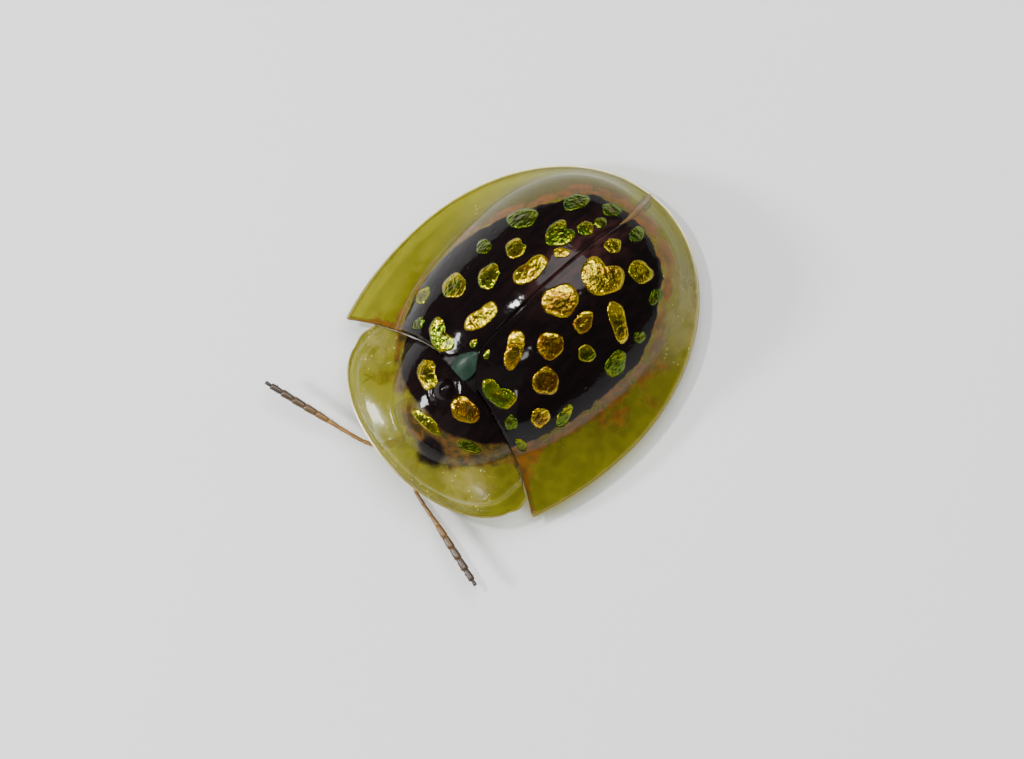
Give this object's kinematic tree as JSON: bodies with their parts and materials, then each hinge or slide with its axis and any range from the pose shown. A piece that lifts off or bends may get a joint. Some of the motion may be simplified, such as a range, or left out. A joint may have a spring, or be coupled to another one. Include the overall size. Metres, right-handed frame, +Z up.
{
  "type": "tortoise beetle",
  "caption": "Still, life-size tortoise beetle with a domed black shell, gold spots, wide clear amber margins and both feelers out, standing on its feet.",
  "frame": {"origin": "on the floor under the middle of the overall box, feelers included", "axes": "+Z up from the floor, -Y towards the head, +X towards the beetle's left side"},
  "size_m": [0.0066, 0.0088, 0.0031],
  "materials": {
    "dark_shell": "glossy black shell with polished gold spots and clear amber margins",
    "amber_shield": "glossy clear amber shield with a black base",
    "amber_limb": "satin amber",
    "brown_belly": "satin dark brown",
    "black_eye": "glossy black"
  },
  "bodies": {
    "root": {"pronotum": "amber_shield", "elytron_left": "dark_shell", "elytron_right": "dark_shell", "scutellum": "dark_shell", "head": "brown_belly", "eye_left": "black_eye", "eye_right": "black_eye", "antenna_left": "amber_limb", "antenna_right": "amber_limb", "prothorax": "brown_belly", "thorax": "brown_belly", "abdomen": "brown_belly", "leg_front_left": "amber_limb", "leg_front_right": "amber_limb", "leg_middle_left": "amber_limb", "leg_middle_right": "amber_limb", "leg_hind_left": "amber_limb", "leg_hind_right": "amber_limb"}
  },
  "joints": []
}
